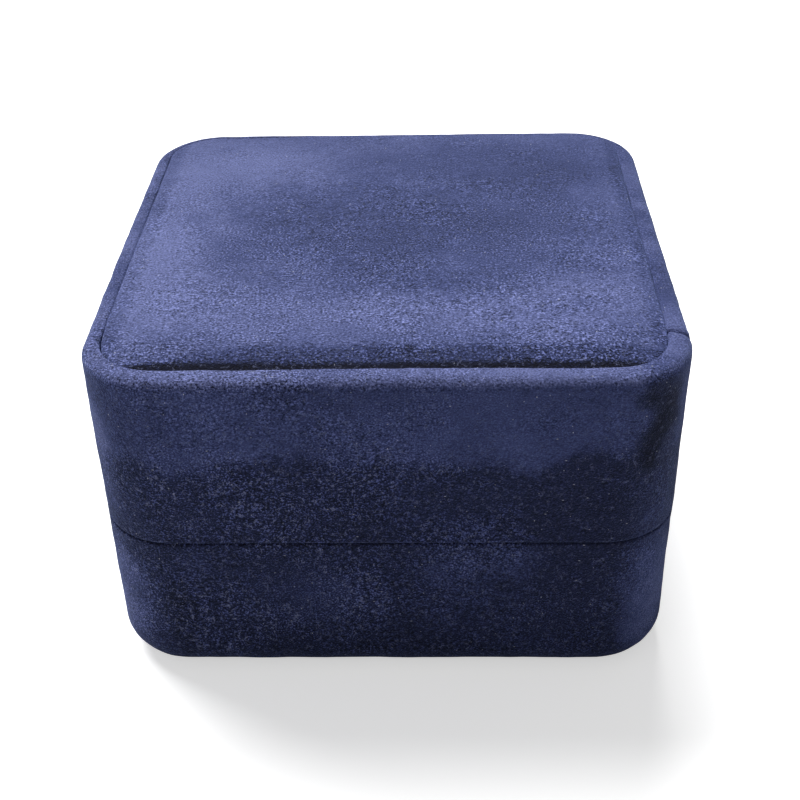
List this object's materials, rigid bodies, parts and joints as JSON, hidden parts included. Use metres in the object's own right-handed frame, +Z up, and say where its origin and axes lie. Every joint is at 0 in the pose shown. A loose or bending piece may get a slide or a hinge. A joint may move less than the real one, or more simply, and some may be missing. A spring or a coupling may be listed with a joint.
{
  "type": "ring box",
  "caption": "Square velvet-covered hinged ring box with rounded corners, padded lid panel, satin lid pad and slotted ring cushion.",
  "frame": {"origin": "centre of the underside, on the surface that the closed box stands on", "axes": "+Z up, -Y towards the front, where the lid opens, +Y towards the hinge, +X to the right seen from the front"},
  "size_m": [0.093, 0.093, 0.059],
  "materials": {
    "navy_velvet": "short-nap velvet with a soft sheen",
    "navy_lining": "short-nap velvet on card",
    "navy_satin": "satin weave, glossy",
    "black_felt": "flat felt",
    "cream_foam": "open-cell foam",
    "grey_card": "grey chipboard",
    "black_plastic": "moulded",
    "hinge_brass": "stamped sheet, lacquered",
    "nickel_steel": "nickel plated"
  },
  "bodies": {
    "base": {"base_shell": "black_plastic", "base_velvet_wrap": "navy_velvet", "bottom_board": "grey_card", "bottom_cover": "black_felt", "base_side_lining": "navy_lining", "cushion_board": "grey_card", "cushion_foam": "cream_foam", "cushion_velvet": "navy_lining", "base_magnets": "nickel_steel", "hinge_base_leaf": "hinge_brass", "hinge_pin": "nickel_steel", "hinge_base_rivets": "hinge_brass"},
    "lid": {"lid_shell": "black_plastic", "lid_velvet_wrap": "navy_velvet", "top_panel_board": "grey_card", "top_panel_foam": "cream_foam", "top_panel_velvet": "navy_velvet", "lid_pad_board": "grey_card", "lid_pad_foam": "cream_foam", "lid_pad_satin": "navy_satin", "lid_side_lining": "navy_lining", "lid_magnets": "nickel_steel", "hinge_lid_leaf": "hinge_brass", "hinge_lid_rivets": "hinge_brass"}
  },
  "joints": [
    {"name": "lid_hinge", "type": "hinge", "parent": "base", "child": "lid", "pos_m": [0, 0.0453, 0.02815], "axis": [-1, 0, 0], "range_deg": [0, 100]}
  ]
}
